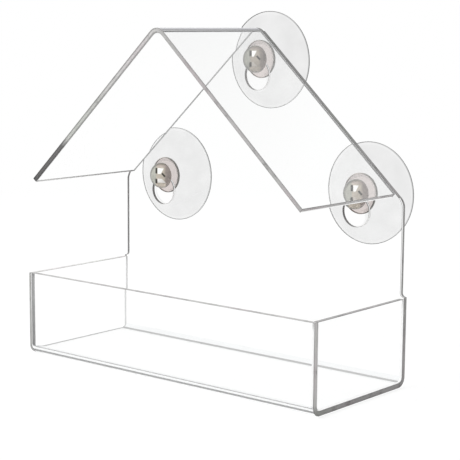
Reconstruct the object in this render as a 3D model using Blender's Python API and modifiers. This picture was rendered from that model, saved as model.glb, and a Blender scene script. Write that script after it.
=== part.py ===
"""A window bird feeder: a clear acrylic house with an open tray, held to the glass by three suction cups.

Metres, +Z up. The front faces -Y and the window side +Y.
The origin is the middle of the tray floor's underside.
"""

import math

import bmesh
import bpy
from mathutils import Vector

# Driving dimensions of the house
feeder_width = 0.150
tray_depth = 0.060
tray_height = 0.035
eave_height = 0.0725
ridge_height = 0.140
sheet_thickness = 0.002

# Bends and corners of the body sheet
tray_bend_radius = 0.002
panel_inset = 0.00175
shoulder_rise = 0.0005
shoulder_radius = 0.0015
eave_corner_radius = 0.005

# Roof sheet
ridge_bend_radius = 0.003
eave_setback = 0.00325
roof_overhang = 0.0016

# Glued joints between the sheets
glue_gap = 0.0003

# Suction cups, along their own axis
cup_radius = 0.0205
cup_reach = 0.0080
cup_edge = 0.0008
cup_lip_width = 0.0014
cup_web = 0.0022
waist_radius = 0.0062
collar_radius = 0.0078
collar_thickness = 0.0013
neck_radius = 0.0030
head_radius = 0.0056
head_depth = 0.0050
head_rim = 0.0006
edge_rounding = 0.0003

# Where the cups sit on the back panel, and how they move in it
side_cup_inset = 0.02175
side_cup_rise = 0.0010
top_cup_drop = 0.0155
keyhole_travel = 0.0065
slot_clearance = 0.0003
hole_clearance = 0.0006
panel_gap = 0.0003

# How far a cutter runs past what it cuts
overrun = 0.004

# Fineness of the round shapes
bend_step = math.radians(10)
cup_steps = 48
head_rings = 8
skirt_rings = 6
hollow_rings = 6
hole_sides = 48
sharp_angle = math.radians(30)
merge_distance = 0.00001

# How the skirt curves from the collar out to its edge, where 1 is a straight cone
flare_power = 1.15

# Colours (red, green, blue, alpha) and finishes
acrylic_colour = (0.93, 0.95, 0.95, 1.0)
acrylic_roughness = 0.03
acrylic_refraction = 1.49
cup_colour = (0.88, 0.87, 0.85, 1.0)
cup_roughness = 0.12
cup_refraction = 1.53

# Places worked out from the sizes above
front_y = -tray_depth / 2
rear_y = tray_depth / 2
half_width = feeder_width / 2
panel_half_width = half_width - panel_inset
panel_middle_y = rear_y - sheet_thickness / 2
roof_pitch = math.atan2(ridge_height - eave_height, panel_half_width)
ridge_outer_radius = ridge_bend_radius + sheet_thickness
tray_outer_radius = tray_bend_radius + sheet_thickness
roof_half_span = panel_half_width - eave_setback
roof_end_z = ridge_height - roof_half_span * math.tan(roof_pitch)
side_cup_x = panel_half_width - side_cup_inset
side_cup_z = eave_height + side_cup_rise
top_cup_z = ridge_height - top_cup_drop

cup_places = {
    "top_suction_cup": (0, top_cup_z),
    "left_suction_cup": (-side_cup_x, side_cup_z),
    "right_suction_cup": (side_cup_x, side_cup_z),
}

# Turns that stand a flat drawing up: on the front plane, and on the side plane
on_front = (math.pi / 2, 0, 0)
on_side = (math.pi / 2, 0, math.pi / 2)


def clear_scene():
    """Remove every object that the file holds."""
    for old in list(bpy.data.objects):
        bpy.data.objects.remove(old, do_unlink=True)


def new_collection(name):
    """Add a collection to the scene."""
    collection = bpy.data.collections.new(name)
    bpy.context.scene.collection.children.link(collection)
    return collection


def clear_plastic(name, colour, roughness, refraction):
    """A see-through plastic with a faint tint."""
    material = bpy.data.materials.new(name)
    material.use_nodes = True
    shader = material.node_tree.nodes["Principled BSDF"]
    shader.inputs["Base Color"].default_value = colour
    shader.inputs["Roughness"].default_value = roughness
    shader.inputs["Metallic"].default_value = 0.0
    shader.inputs["IOR"].default_value = refraction
    shader.inputs["Transmission Weight"].default_value = 1.0
    return material


def arc(centre, radius, start, end):
    """Points of an arc about a centre, from one angle to another, both ends included."""
    steps = max(2, math.ceil(abs(end - start) / bend_step))
    points = []
    for step in range(steps + 1):
        angle = start + (end - start) * step / steps
        points.append((centre[0] + radius * math.cos(angle), centre[1] + radius * math.sin(angle)))
    return points


def rounded(corners):
    """Points of a closed outline whose corners (across, up, radius) are rounded."""
    points = []
    count = len(corners)
    for index, (across, up, radius) in enumerate(corners):
        corner = Vector((across, up))
        if radius == 0:
            points.append(tuple(corner))
            continue
        before = Vector(corners[index - 1][:2]) - corner
        after = Vector(corners[(index + 1) % count][:2]) - corner
        half_angle = before.angle(after) / 2
        reach = min(radius / math.tan(half_angle), before.length, after.length)
        radius = reach * math.tan(half_angle)
        middle = (before.normalized() + after.normalized()).normalized()
        centre = corner + middle * radius / math.sin(half_angle)
        start = corner + before.normalized() * reach - centre
        end = corner + after.normalized() * reach - centre
        start_angle = math.atan2(start.y, start.x)
        turn = math.remainder(math.atan2(end.y, end.x) - start_angle, 2 * math.pi)
        points += arc(centre, radius, start_angle, start_angle + turn)
    return points


def drawn(name, points, half_depth, closed, turn):
    """A 2D curve through the points, drawn out by half_depth to each side, as a mesh object."""
    curve = bpy.data.curves.new(name, "CURVE")
    curve.dimensions = "2D"
    curve.fill_mode = "BOTH" if closed else "NONE"
    curve.extrude = half_depth
    spline = curve.splines.new("POLY")
    spline.points.add(len(points) - 1)
    for point, (across, up) in zip(spline.points, points):
        point.co = (across, up, 0, 1)
    spline.use_cyclic_u = closed
    drawing = bpy.data.objects.new(name, curve)
    drawing.rotation_euler = turn
    bpy.context.scene.collection.objects.link(drawing)
    bpy.context.view_layer.update()
    evaluated = drawing.evaluated_get(bpy.context.evaluated_depsgraph_get())
    mesh = bpy.data.meshes.new_from_object(evaluated)
    weld(mesh)
    piece = bpy.data.objects.new(name, mesh)
    piece.matrix_world = drawing.matrix_world
    bpy.data.objects.remove(drawing, do_unlink=True)
    piece.name = name
    return piece


def weld(mesh):
    """Join a mesh's loose caps to its sides."""
    work = bmesh.new()
    work.from_mesh(mesh)
    bmesh.ops.remove_doubles(work, verts=work.verts, dist=merge_distance)
    work.to_mesh(mesh)
    work.free()


def placed(piece, collection, parent):
    """Put a finished piece in its collection, under the feeder's frame."""
    collection.objects.link(piece)
    piece.parent = parent
    return piece


def as_cutter(piece, collection):
    """Put a cutter in its collection, out of the render."""
    collection.objects.link(piece)
    piece.hide_render = True
    piece.display_type = "WIRE"
    return piece


def cut(piece, cutter, operation):
    """Cut a piece by a cutter, or keep only what they share."""
    boolean = piece.modifiers.new(cutter.name, "BOOLEAN")
    boolean.operation = operation
    boolean.object = cutter
    boolean.solver = "EXACT"


def thicken(piece, side):
    """Give a bent surface the sheet's thickness, on one side."""
    solid = piece.modifiers.new("sheet", "SOLIDIFY")
    solid.thickness = sheet_thickness
    solid.offset = side
    solid.use_even_offset = True


def house_outline():
    """Cutter with the sheet's outline as seen from the front: the tray, its shoulders, eaves and ridge."""
    shoulder_z = tray_height + shoulder_rise
    right = [
        (half_width, -overrun, 0),
        (half_width, shoulder_z, 0),
        (panel_half_width, shoulder_z, shoulder_radius),
        (panel_half_width, eave_height, eave_corner_radius),
    ]
    left = [(-across, up, radius) for across, up, radius in reversed(right)]
    corners = right + [(0, ridge_height, ridge_outer_radius)] + left
    return drawn("house_outline", rounded(corners), tray_depth / 2 + overrun, True, on_front)


def slot_outline():
    """Cutter for a keyhole's narrow slot, round at its top, about the neck's place."""
    slot_radius = neck_radius + slot_clearance
    points = arc((0, 0), slot_radius, 0, math.pi)
    points += [(-slot_radius, -keyhole_travel), (slot_radius, -keyhole_travel)]
    return drawn("keyhole_slot", points, sheet_thickness / 2 + overrun, True, on_front)


def hole_cutter():
    """Cutter for a keyhole's large hole, which lets a cup's head through."""
    bpy.ops.mesh.primitive_cylinder_add(
        vertices=hole_sides,
        radius=head_radius + hole_clearance,
        depth=sheet_thickness + 2 * overrun,
        rotation=on_front,
    )
    hole = bpy.context.object
    hole.name = "keyhole_hole"
    for home in hole.users_collection:
        home.objects.unlink(hole)
    return hole


def body_sheet(parts, cutters, frame, acrylic):
    """Front wall, floor and back panel, bent from one sheet."""
    inner_front = front_y + tray_outer_radius
    inner_rear = rear_y - tray_outer_radius
    path = [(front_y, tray_height)]
    path += arc((inner_front, tray_outer_radius), tray_outer_radius, math.pi, 1.5 * math.pi)
    path += arc((inner_rear, tray_outer_radius), tray_outer_radius, 1.5 * math.pi, 2 * math.pi)
    path += [(rear_y, ridge_height + overrun)]
    sheet = drawn("body_sheet", path, half_width + overrun, False, on_side)
    thicken(sheet, 1)
    cut(sheet, as_cutter(house_outline(), cutters), "INTERSECT")
    for place in cup_places.values():
        for keyhole, drop in ((slot_outline(), 0), (hole_cutter(), keyhole_travel)):
            keyhole.location = (place[0], panel_middle_y, place[1] - drop)
            cut(sheet, as_cutter(keyhole, cutters), "DIFFERENCE")
    sheet.data.materials.append(acrylic)
    return placed(sheet, parts, frame)


def roof_sheet(parts, frame, acrylic):
    """The gable roof, bent at the ridge, its top face level with the back panel's slopes."""
    roof_front = front_y - roof_overhang
    roof_rear = rear_y - sheet_thickness - glue_gap
    centre = (0, ridge_height - ridge_outer_radius / math.cos(roof_pitch))
    path = [(-roof_half_span, roof_end_z)]
    path += arc(centre, ridge_outer_radius, math.pi / 2 + roof_pitch, math.pi / 2 - roof_pitch)
    path += [(roof_half_span, roof_end_z)]
    sheet = drawn("roof_sheet", path, (roof_rear - roof_front) / 2, False, on_front)
    sheet.location = (0, (roof_front + roof_rear) / 2, 0)
    thicken(sheet, -1)
    sheet.data.materials.append(acrylic)
    return placed(sheet, parts, frame)


def side_panel(name, side, parts, frame, acrylic):
    """A tray end, glued between the front wall and the back panel, its outside level with their ends."""
    front = front_y + sheet_thickness + glue_gap
    rear = rear_y - sheet_thickness - glue_gap
    bottom = sheet_thickness + glue_gap
    corner = max(tray_bend_radius - glue_gap, glue_gap)
    outline = rounded([
        (front, bottom, corner),
        (rear, bottom, corner),
        (rear, tray_height, 0),
        (front, tray_height, 0),
    ])
    panel = drawn(name, outline, sheet_thickness / 2, True, on_side)
    panel.location = (side * (half_width - sheet_thickness / 2), 0, 0)
    panel.data.materials.append(acrylic)
    return placed(panel, parts, frame)


def cup_profile():
    """Half outline of a suction cup about its axis, from the head's tip down the outside and up the hollow."""
    head_base = sheet_thickness / 2 + panel_gap
    dome_base = head_base + head_rim
    collar_top = -head_base
    collar_bottom = collar_top - collar_thickness
    lip = collar_top - cup_reach
    skirt_top = lip + cup_edge
    hollow_top = collar_bottom - cup_web
    hollow_radius = cup_radius - cup_lip_width

    points = []
    for ring in range(head_rings + 1):
        angle = math.pi / 2 * ring / head_rings
        points.append((head_radius * math.sin(angle), dome_base + (head_depth - head_rim) * math.cos(angle)))
    points += [
        (head_radius, head_base + edge_rounding),
        (head_radius - edge_rounding, head_base),
        (neck_radius, head_base),
        (neck_radius, collar_top),
        (collar_radius - edge_rounding, collar_top),
        (collar_radius, collar_top - edge_rounding),
        (collar_radius, collar_bottom + edge_rounding),
        (collar_radius - edge_rounding, collar_bottom),
    ]
    for ring in range(skirt_rings + 1):
        share = ring / skirt_rings
        fall = share ** flare_power
        points.append((
            waist_radius + (cup_radius - waist_radius) * share,
            collar_bottom + (skirt_top - collar_bottom) * fall,
        ))
    points.append((cup_radius, lip))
    for ring in range(hollow_rings + 1):
        share = 1 - ring / hollow_rings
        points.append((hollow_radius * share, hollow_top + (lip - hollow_top) * share ** 2))
    return points


def cup_mesh():
    """One suction cup turned about its axis, its head towards +Z."""
    points = cup_profile()
    profile = bpy.data.meshes.new("suction_cup_profile")
    edges = [(index, index + 1) for index in range(len(points) - 1)]
    profile.from_pydata([(across, 0, up) for across, up in points], edges, [])
    turned = bpy.data.objects.new("suction_cup_profile", profile)
    bpy.context.scene.collection.objects.link(turned)
    screw = turned.modifiers.new("turn", "SCREW")
    screw.steps = cup_steps
    screw.render_steps = cup_steps
    screw.use_merge_vertices = True
    screw.merge_threshold = merge_distance
    bpy.context.view_layer.update()
    evaluated = turned.evaluated_get(bpy.context.evaluated_depsgraph_get())
    mesh = bpy.data.meshes.new_from_object(evaluated)
    mesh.name = "suction_cup"
    mesh.shade_smooth()
    mesh.set_sharp_from_angle(angle=sharp_angle)
    bpy.data.objects.remove(turned, do_unlink=True)
    return mesh


def suction_cups(parts, frame, plastic):
    """The three cups, each with its neck at the top of its keyhole slot."""
    mesh = cup_mesh()
    mesh.materials.append(plastic)
    for name, (across, up) in cup_places.items():
        cup = bpy.data.objects.new(name, mesh)
        cup.location = (across, panel_middle_y, up)
        cup.rotation_euler = on_front
        placed(cup, parts, frame)


def main():
    """Build the feeder."""
    clear_scene()
    parts = new_collection("window_bird_feeder")
    cutters = new_collection("cutters")
    frame = bpy.data.objects.new("feeder_frame", None)
    parts.objects.link(frame)
    acrylic = clear_plastic("clear_acrylic", acrylic_colour, acrylic_roughness, acrylic_refraction)
    soft_plastic = clear_plastic("clear_soft_plastic", cup_colour, cup_roughness, cup_refraction)
    body_sheet(parts, cutters, frame, acrylic)
    roof_sheet(parts, frame, acrylic)
    side_panel("left_side_panel", -1, parts, frame, acrylic)
    side_panel("right_side_panel", 1, parts, frame, acrylic)
    suction_cups(parts, frame, soft_plastic)


main()
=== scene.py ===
"""Finished look of the window bird feeder, laid out as an add-on and run as a script.

Metres, +Z up. The tray's front wall faces -Y and the window is on the +Y side.
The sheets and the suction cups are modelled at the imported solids' places, and replace them.
"""
import math

import bmesh
import bpy
from bpy.props import FloatProperty, FloatVectorProperty, IntProperty, PointerProperty
from bpy.types import Operator, Panel, PropertyGroup
from mathutils import Euler, Matrix, Vector


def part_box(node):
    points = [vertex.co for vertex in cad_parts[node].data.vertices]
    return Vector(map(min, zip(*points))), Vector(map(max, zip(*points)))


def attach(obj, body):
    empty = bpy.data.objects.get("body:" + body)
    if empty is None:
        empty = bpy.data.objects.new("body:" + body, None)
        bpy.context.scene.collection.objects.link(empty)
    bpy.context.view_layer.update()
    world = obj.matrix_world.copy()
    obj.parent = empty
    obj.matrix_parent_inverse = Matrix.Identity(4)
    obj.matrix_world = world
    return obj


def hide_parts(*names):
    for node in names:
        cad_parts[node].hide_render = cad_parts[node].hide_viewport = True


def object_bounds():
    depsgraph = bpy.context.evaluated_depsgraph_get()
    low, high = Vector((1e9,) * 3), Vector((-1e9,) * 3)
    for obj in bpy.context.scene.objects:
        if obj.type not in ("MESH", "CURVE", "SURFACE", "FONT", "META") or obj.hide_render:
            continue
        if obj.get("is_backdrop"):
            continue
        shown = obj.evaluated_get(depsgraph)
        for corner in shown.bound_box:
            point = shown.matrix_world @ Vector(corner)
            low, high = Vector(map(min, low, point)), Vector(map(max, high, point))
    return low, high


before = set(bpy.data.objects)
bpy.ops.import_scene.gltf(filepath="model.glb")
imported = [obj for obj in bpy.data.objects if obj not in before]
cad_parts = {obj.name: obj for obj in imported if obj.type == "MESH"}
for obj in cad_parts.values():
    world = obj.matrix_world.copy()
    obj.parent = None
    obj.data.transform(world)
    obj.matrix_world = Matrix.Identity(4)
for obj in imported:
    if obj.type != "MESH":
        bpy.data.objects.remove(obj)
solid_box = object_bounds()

bl_info = {
    "name": "Window Bird Feeder",
    "version": (1, 0, 0),
    "blender": (4, 5, 0),
    "location": "3D View > Sidebar > Feeder",
    "description": "Models a clear window bird feeder with its suction cups, and its studio",
    "category": "Add Mesh",
}

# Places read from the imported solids
body_low, body_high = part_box("body_sheet")
roof_low, roof_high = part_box("roof_sheet")
panel_low, panel_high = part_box("right_side_panel")
cup_nodes = ("top_suction_cup", "left_suction_cup", "right_suction_cup")
cup_bodies = ("top_cup", "left_cup", "right_cup")
cup_boxes = [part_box(node) for node in cup_nodes]
cup_axes = [Vector(((low[0] + high[0]) / 2, 0, (low[2] + high[2]) / 2)) for low, high in cup_boxes]

half_width = body_high[0]
front_y = body_low[1]
rear_y = body_high[1]
sheet = panel_high[0] - panel_low[0]
tray_height = panel_high[2]
glue_gap = panel_low[2] - sheet

# How close two places have to be to count as the same, and a normal's part to 1 to count as square on
near = 0.00002
straight = 0.999

# Edges sharper than the first are chamfered or kept sharp, and bends flatter than the second look round
sharp_angle = math.radians(40)
smooth_angle = math.radians(25)

# Material slots of every sheet, in order: broad faces, heated bends, sawn ends, thin chamfers,
# edges polished clear over part of their width, the walls of the keyholes, the roof's left front edge,
# hazed faces for joints, and creases painted grey as shade, and the roof's bend with painted shade
CLEAR, BEND, CUT, ARRIS, PART_CLEAR, KEYHOLE, GABLE, HAZE, RIDGE = range(9)
sawn_slots = (CUT, PART_CLEAR, KEYHOLE, GABLE)

# Material slots of a cup, in order
SKIRT, LIP, OUTLINE, COLLAR, COLLAR_WALL, HEAD = range(6)


def length(name, about, default):
    """A size in metres."""
    return FloatProperty(
        name=name, description=about, default=default, subtype="DISTANCE", unit="LENGTH", precision=5,
    )


def turn(name, about, degrees):
    """An angle, given in degrees."""
    return FloatProperty(
        name=name, description=about, default=math.radians(degrees), subtype="ANGLE", unit="ROTATION",
    )


def share(name, about, default):
    """A plain number from 0 to 1."""
    return FloatProperty(name=name, description=about, default=default, min=0, max=1, subtype="FACTOR")


def number(name, about, default, least=0):
    """A plain number."""
    return FloatProperty(name=name, description=about, default=default, min=least)


def count(name, about, default, least):
    """A whole number."""
    return IntProperty(name=name, description=about, default=default, min=least)


def colour(name, about, default):
    """A linear red, green and blue."""
    return FloatVectorProperty(
        name=name, description=about, default=default, size=3, min=0, max=1, subtype="COLOR",
    )


def spot(name, about, default):
    """A place in metres."""
    return FloatVectorProperty(
        name=name, description=about, default=default, size=3, subtype="TRANSLATION", unit="LENGTH",
    )


class FeederSheetSettings(PropertyGroup):
    """Sizes and finishes of the bent and flat sheets."""

    ridge_height: length("Ridge", "Height where the two slopes' outer faces would meet", 0.140)
    eave_height: length("Eaves", "Height where the back panel's slopes begin", 0.0725)
    panel_inset: length("Panel inset", "How far the back panel steps in above the tray, each side", 0.00175)
    shoulder_rise: length("Shoulder rise", "How far the tray's width runs up past its rim", 0.0005)
    shoulder_radius: length("Shoulder radius", "Rounding where the back panel narrows", 0.0015)
    eave_radius: length("Eave radius", "Rounding of the back panel's upper corners", 0.005)
    tray_bend: length("Tray bend", "Outer radius of the two bends under the tray", 0.004)
    ridge_bend: length("Ridge bend", "Outer radius of the roof's bend", 0.005)
    slot_radius: length("Slot radius", "Half the width of a keyhole's slot", 0.0033)
    hole_radius: length("Hole radius", "Radius of a keyhole's large hole", 0.0062)
    hole_drop: length("Hole drop", "How far the large hole's middle lies under the cup's axis", 0.0065)
    arris: length("Arris", "Width of the chamfer along every sawn edge", 0.00015)
    gable_slant: length("Gable slant", "How far the roof's front edge leans back underneath", 0.0005)
    bend_steps: count("Bend steps", "Faces across each bend", 14, 4)
    round_steps: count("Round steps", "Faces round a keyhole's large hole", 72, 16)
    corner_steps: count("Corner steps", "Faces across the lower corners of the tray's ends", 6, 2)
    refraction: number("Refraction", "How much the sheet bends light", 1.49, 1)
    clear_tint: colour("Clear tint", "Colour of the sheet seen through its faces", (0.997, 0.999, 0.998))
    bend_tint: colour("Bend tint", "Colour of the heated bends seen through", (0.93, 0.94, 0.945))
    edge_tint: colour("Edge tint", "Cast of the sawn edges, before their brightness", (1.0, 0.98, 0.975))
    ridge_tint: colour("Ridge tint", "Cast of the roof's hazed bend", (0.96, 0.96, 1.0))
    arris_grey: share("Arris grey", "Brightness of the chamfers against the edge beside them", 0.72)
    # Painted shade: the sawn edges and cemented joints are grey in themselves, but the brightnesses below,
    # which differ by side, height and place, are painted shade and reflection
    front_wall_end: share("Front wall end", "Brightness of the front wall's sawn ends at the top", 0.60)
    front_wall_foot: share("Front wall foot", "Brightness of those ends at the foot", 0.46)
    floor_end: share("Floor end", "Brightness of the floor's sawn ends", 0.30)
    back_end: share("Back end", "Brightness of the back panel's sawn ends beside the tray", 0.34)
    left_upright: share("Left upright", "Brightness of the back panel's left upright edge", 0.20)
    right_upright: share("Right upright", "Brightness of the back panel's right upright edge", 0.34)
    back_slope: share("Back slope", "Brightness of the back panel's sloping edges", 0.33)
    front_rim: share("Front rim", "Brightness of the front wall's top edge", 0.50)
    right_rim: share("Right rim", "Brightness of the right tray end's top edge", 0.36)
    left_rim: share("Left rim", "Brightness of the left tray end's top edge", 0.80)
    # Painted shade: the creases and the fold are grey lines painted where the bends show dark lines
    front_crease: share("Front crease", "Brightness of the line between front bend and floor", 0.38)
    rear_crease: share("Rear crease", "Brightness of the line between rear bend and floor", 0.44)
    fold: share("Fold", "Brightness of the lowest line of the front bend", 1.0)
    keyhole: share("Keyhole", "Brightness of the keyholes' walls where they are dark", 0.22)
    keyhole_pale: share("Pale keyhole", "Brightness of the keyholes' walls where they are pale", 0.75)
    # Painted shade: the roof's bend is painted bright along its top and dark where the slopes begin
    ridge_top: share("Ridge top", "Brightness of the roof's bend along its top", 0.82)
    ridge_foot: share("Ridge foot", "Brightness of the roof's bend where the slopes begin", 0.34)
    ridge_haze: share("Ridge haze", "How much of the roof's bend is hazed, from its middle", 0.88)
    ridge_crown: share("Ridge crown", "How much of the roof's bend has its top's brightness", 0.3)
    roof_joint_left: share("Left roof joint", "Brightness of the roof's glued edge on the left", 0.26)
    roof_joint_right: share("Right roof joint", "Brightness of the roof's glued edge on the right", 0.25)
    gable_left: share("Left gable edge", "Brightness of the roof's left front edge", 0.62)
    gable_right: share("Right gable edge", "Brightness of the roof's right front edge", 0.40)
    gable_left_end: length("Left gable end", "Where that left brightness ends", -0.001)
    gable_right_start: length("Right gable start", "Where that right brightness begins", 0.003)
    eave_right: share("Right eave", "Brightness of the right eave's sawn edge", 0.40)
    eave_pale: share("Pale eave", "Brightness of that edge over its paler stretch", 0.50)
    eave_pale_front: length("Pale eave from", "Where that paler stretch begins", -0.0042)
    eave_pale_rear: length("Pale eave to", "Where that paler stretch ends", 0.0188)
    eave_left_front: share("Left eave front", "Brightness of the left eave's sawn edge in front", 0.80)
    eave_left_rear: share("Left eave rear", "Brightness of the left eave's sawn edge at the rear", 0.20)
    side_joint: share("Side joint", "Brightness of the cement in the tray's front right joint", 0.42)
    side_joint_run: length("Side joint run", "How far that cement reaches in from the right end", 0.00075)
    right_joint: share("Right joint", "Brightness of the right end's other joints", 0.93)
    left_joint_foot: share("Left joint foot", "Brightness of the left front joint at its foot", 0.18)
    left_joint_top: share("Left joint top", "Brightness of the left front joint higher up", 0.42)
    left_joint_from: length("Left joint from", "Height up to which the foot's brightness holds", 0.008)
    left_joint_to: length("Left joint to", "Height from which the upper brightness holds", 0.024)
    left_joint_rear: share("Left joint rear", "Brightness of the left rear joint", 0.60)
    left_joint_floor: share("Left joint floor", "Brightness of the left end's joint with the floor", 0.30)


class FeederCupSettings(PropertyGroup):
    """Sizes and finishes of the suction cups."""

    lip_width: length("Lip width", "Flat ring that meets the window", 0.0014)
    edge_height: length("Edge height", "Height of the skirt's outer rim", 0.0008)
    web: length("Web", "Thickness between the collar and the hollow", 0.0022)
    waist_radius: length("Waist radius", "Where the skirt leaves the collar", 0.0062)
    collar_radius: length("Collar radius", "Radius of the collar behind the back panel", 0.0078)
    collar_height: length("Collar height", "Thickness of that collar", 0.0013)
    neck_radius: length("Neck radius", "Radius of the neck in the slot", 0.0030)
    head_radius: length("Head radius", "Radius of the mushroom head", 0.0056)
    head_rim: length("Head rim", "Height of the head's upright rim", 0.0006)
    panel_gap: length("Panel gap", "Play between the cup and each face of the back panel", 0.0003)
    flare: number("Flare", "How the skirt curves out to its edge, where 1 is a straight cone", 1.15)
    steps: count("Steps", "Faces round a cup", 96, 24)
    profile_steps: count("Profile steps", "Faces along the dome, the skirt and the hollow", 12, 4)
    skirt_tint: colour("Skirt tint", "Colour of the skirt seen through", (0.87, 0.87, 0.87))
    skirt_refraction: number("Skirt refraction", "How much the thin skirt bends light", 1.2, 1)
    # A white patch painted on the skirt where the keyhole's large hole lies, not part of the plastic's own
    # colour
    painted_white_patch: FloatVectorProperty(
        name="Clear patch", default=(-0.75, -1.35, 1.1), size=3,
        description="Uncoloured patch of the skirt: its place across and up and its radius, in head radii",
    )
    # Painted shade: a grey ring round the skirt's rim, and the rim itself grey and darker on the right, where
    # the clear plastic is seen edge on
    border_grey: share("Border grey", "Brightness of the skirt's border", 0.42)
    rim_reach: number("Rim reach", "Where the skirt's border begins, in head radii", 3.6)
    outline_left: colour("Left outline", "Colour of the skirt's rim on the left", (0.48, 0.48, 0.48))
    outline_right: colour("Right outline", "Colour of the skirt's rim on the right", (0.22, 0.22, 0.22))
    collar_tint: colour("Collar tint", "Colour of the collar seen through", (0.49, 0.40, 0.375))
    collar_refraction: number("Collar refraction", "How much the collar bends light", 1.3, 1)
    collar_reach: number("Collar reach", "Radius of the collar's rim, in head radii", 1.4)
    # Painted shade: the collar's rim is grey, and darker on the right
    collar_left: colour("Left collar rim", "Colour of the collar's rim on the left", (0.42, 0.37, 0.34))
    collar_right: colour("Right collar rim", "Colour of that rim on the right", (0.12, 0.11, 0.095))
    # The head is clear plastic: the colours, pale patches and dark spots below are painted shade, painted
    # highlights and painted dark reflections, laid out as the head is seen from the front right
    head_pale: colour("Pale head", "Colour of the head's middle", (0.57, 0.51, 0.435))
    head_dark: colour("Dark head", "Colour of the head's flank", (0.39, 0.335, 0.31))
    head_green: colour("Far side", "Colour of the head's far side", (0.46, 0.46, 0.41))
    upper_gleam: colour("Upper gleam", "Colour of the head's upper pale patch", (0.95, 0.95, 0.93))
    lower_gleam: colour("Lower gleam", "Colour of the head's lower pale patch", (0.90, 0.88, 0.86))
    dark_reflection_colour: colour("Dark marks", "Colour of the dark moulding marks on the head", (0.03, 0.028, 0.022))
    painted_light_turn: turn("Mark turn", "How far the moulding marks are turned about the upright", 40)
    dark_reflection_slant: turn("Mark slant", "How far the third mark leans", 41.5)


class FeederStageSettings(PropertyGroup):
    """Camera, lamps, floor and backdrop."""

    azimuth: turn("Azimuth", "How far the camera stands to the right of the front", 39.86)
    elevation: turn("Elevation", "How far the camera looks down", 8.56)
    roll: turn("Roll", "How far the camera leans", 0.41)
    distance: length("Distance", "From the camera to the point it looks at", 0.5285)
    look_at: spot("Look at", "Point that the camera and the lamps aim at", (0.0270, -0.0197, 0.0624))
    lens: number("Lens", "Focal length in millimetres on a 36 mm sensor", 109.0, 1)
    floor_size: length("Floor size", "Width of the floor", 6.0)
    floor_faces: count("Floor faces", "Faces across the floor", 8, 1)
    floor_drop: length("Floor drop", "How far the floor lies under the tray", 0.0002)
    floor_colour: colour("Floor colour", "Colour of the pale floor", (0.86, 0.86, 0.86))
    floor_glow: share("Floor glow", "How much of the floor near the feeder is plain white", 0.7)
    floor_glow_strength: number("Floor glow strength", "Brightness of that white", 1.087)
    floor_fade_from: length("Floor fade from", "Distance at which the floor starts to turn white", 0.2)
    floor_fade_to: length("Floor fade to", "Distance from which the floor is white", 0.6)
    sky_strength: number("Sky", "Strength of the light from all round", 0.55)
    sun_strength: number("Key lamp", "Strength of the wide key lamp", 1.4)
    sun_spread: turn("Key lamp spread", "Angle that the key lamp spans", 50)
    sun_place: spot("Key lamp place", "Where the key lamp's light comes from", (-0.6, -1.2, 1.6))
    front_lamp_power: number("Front lamp", "Power of the soft lamp in front, in watts", 3.0)
    front_lamp_size: length("Front lamp size", "Width of that lamp", 0.3)
    front_lamp_place: spot("Front lamp place", "Where that lamp stands", (-0.35, -0.75, 0.75))
    wall_top: share("Wall top", "Upward part of a direction up to which the studio is white", 0.76)
    ceiling_start: share("Ceiling start", "Upward part of a direction from which it is dark", 0.82)
    ceiling_grey: share("Ceiling grey", "Brightness of the ceiling", 0.12)
    softbox_place: FloatVectorProperty(
        name="Softbox", description="Direction of the overhead softbox",
        default=(-0.09, -0.21, 0.98), size=3, subtype="DIRECTION",
    )
    softbox_edge: share("Softbox edge", "Cosine of the angle from the softbox's middle to its edge", 0.965)
    softbox_blur: share("Softbox blur", "Width of that edge's blur", 0.01)


# Edit-mode helpers


def begin():
    """Select nothing, in object mode."""
    if bpy.context.object and bpy.context.object.mode != "OBJECT":
        bpy.ops.object.mode_set(mode="OBJECT")
    bpy.ops.object.select_all(action="DESELECT")


def hold(piece):
    """Select one piece and nothing else, in object mode."""
    begin()
    piece.select_set(True)
    bpy.context.view_layer.objects.active = piece


def pick(kind, test):
    """In edit mode, select the vertices, edges or faces that pass a test, and nothing else."""
    bpy.ops.mesh.select_mode(type=kind)
    bpy.ops.mesh.select_all(action="DESELECT")
    mesh = bpy.context.object.data
    work = bmesh.from_edit_mesh(mesh)
    kinds = {"VERT": work.verts, "EDGE": work.edges, "FACE": work.faces}
    found = [item for item in kinds[kind] if test(item)]
    if not found:
        raise RuntimeError(f"{bpy.context.object.name}: nothing to select")
    for item in found:
        item.select_set(True)
    work.select_flush_mode()
    bmesh.update_edit_mesh(mesh)


def lies(item, **places):
    """True if every corner of an edge or face lies at the given x, y or z."""
    for axis, place in places.items():
        index = "xyz".index(axis)
        if any(abs(corner.co[index] - place) > near for corner in item.verts):
            return False
    return True


def middle(face):
    """Middle of a face."""
    return face.calc_center_median()


def plane(name, low, high):
    """A rectangle at a height, in edit mode."""
    begin()
    bpy.ops.mesh.primitive_plane_add(size=1)
    piece = bpy.context.object
    piece.name = piece.data.name = name
    bpy.ops.object.mode_set(mode="EDIT")
    bpy.ops.transform.resize(value=(high[0] - low[0], high[1] - low[1], 1))
    centre = [(a + b) / 2 for a, b in zip(low, high)]
    bpy.ops.transform.translate(value=centre)
    return piece


def extrude(step):
    """Extrude what is selected by a step."""
    bpy.ops.mesh.extrude_region_move(TRANSFORM_OT_translate={"value": step})


def apply_modifier(piece, kind, **values):
    """Add a modifier, set it and apply it."""
    modifier = piece.modifiers.new(kind.lower(), kind)
    for name, value in values.items():
        setattr(modifier, name, value)
    bpy.context.view_layer.objects.active = piece
    bpy.ops.object.modifier_apply(modifier=modifier.name)


def finish_piece(piece, body, slot, *nodes):
    """Apply the piece's place, hide the solids that it replaces, and hang it under its body's empty."""
    hold(piece)
    bpy.ops.object.transform_apply(location=True, rotation=True, scale=True)
    if nodes:
        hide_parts(*nodes)
    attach(piece, body)
    piece.visible_glossy = False


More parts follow.
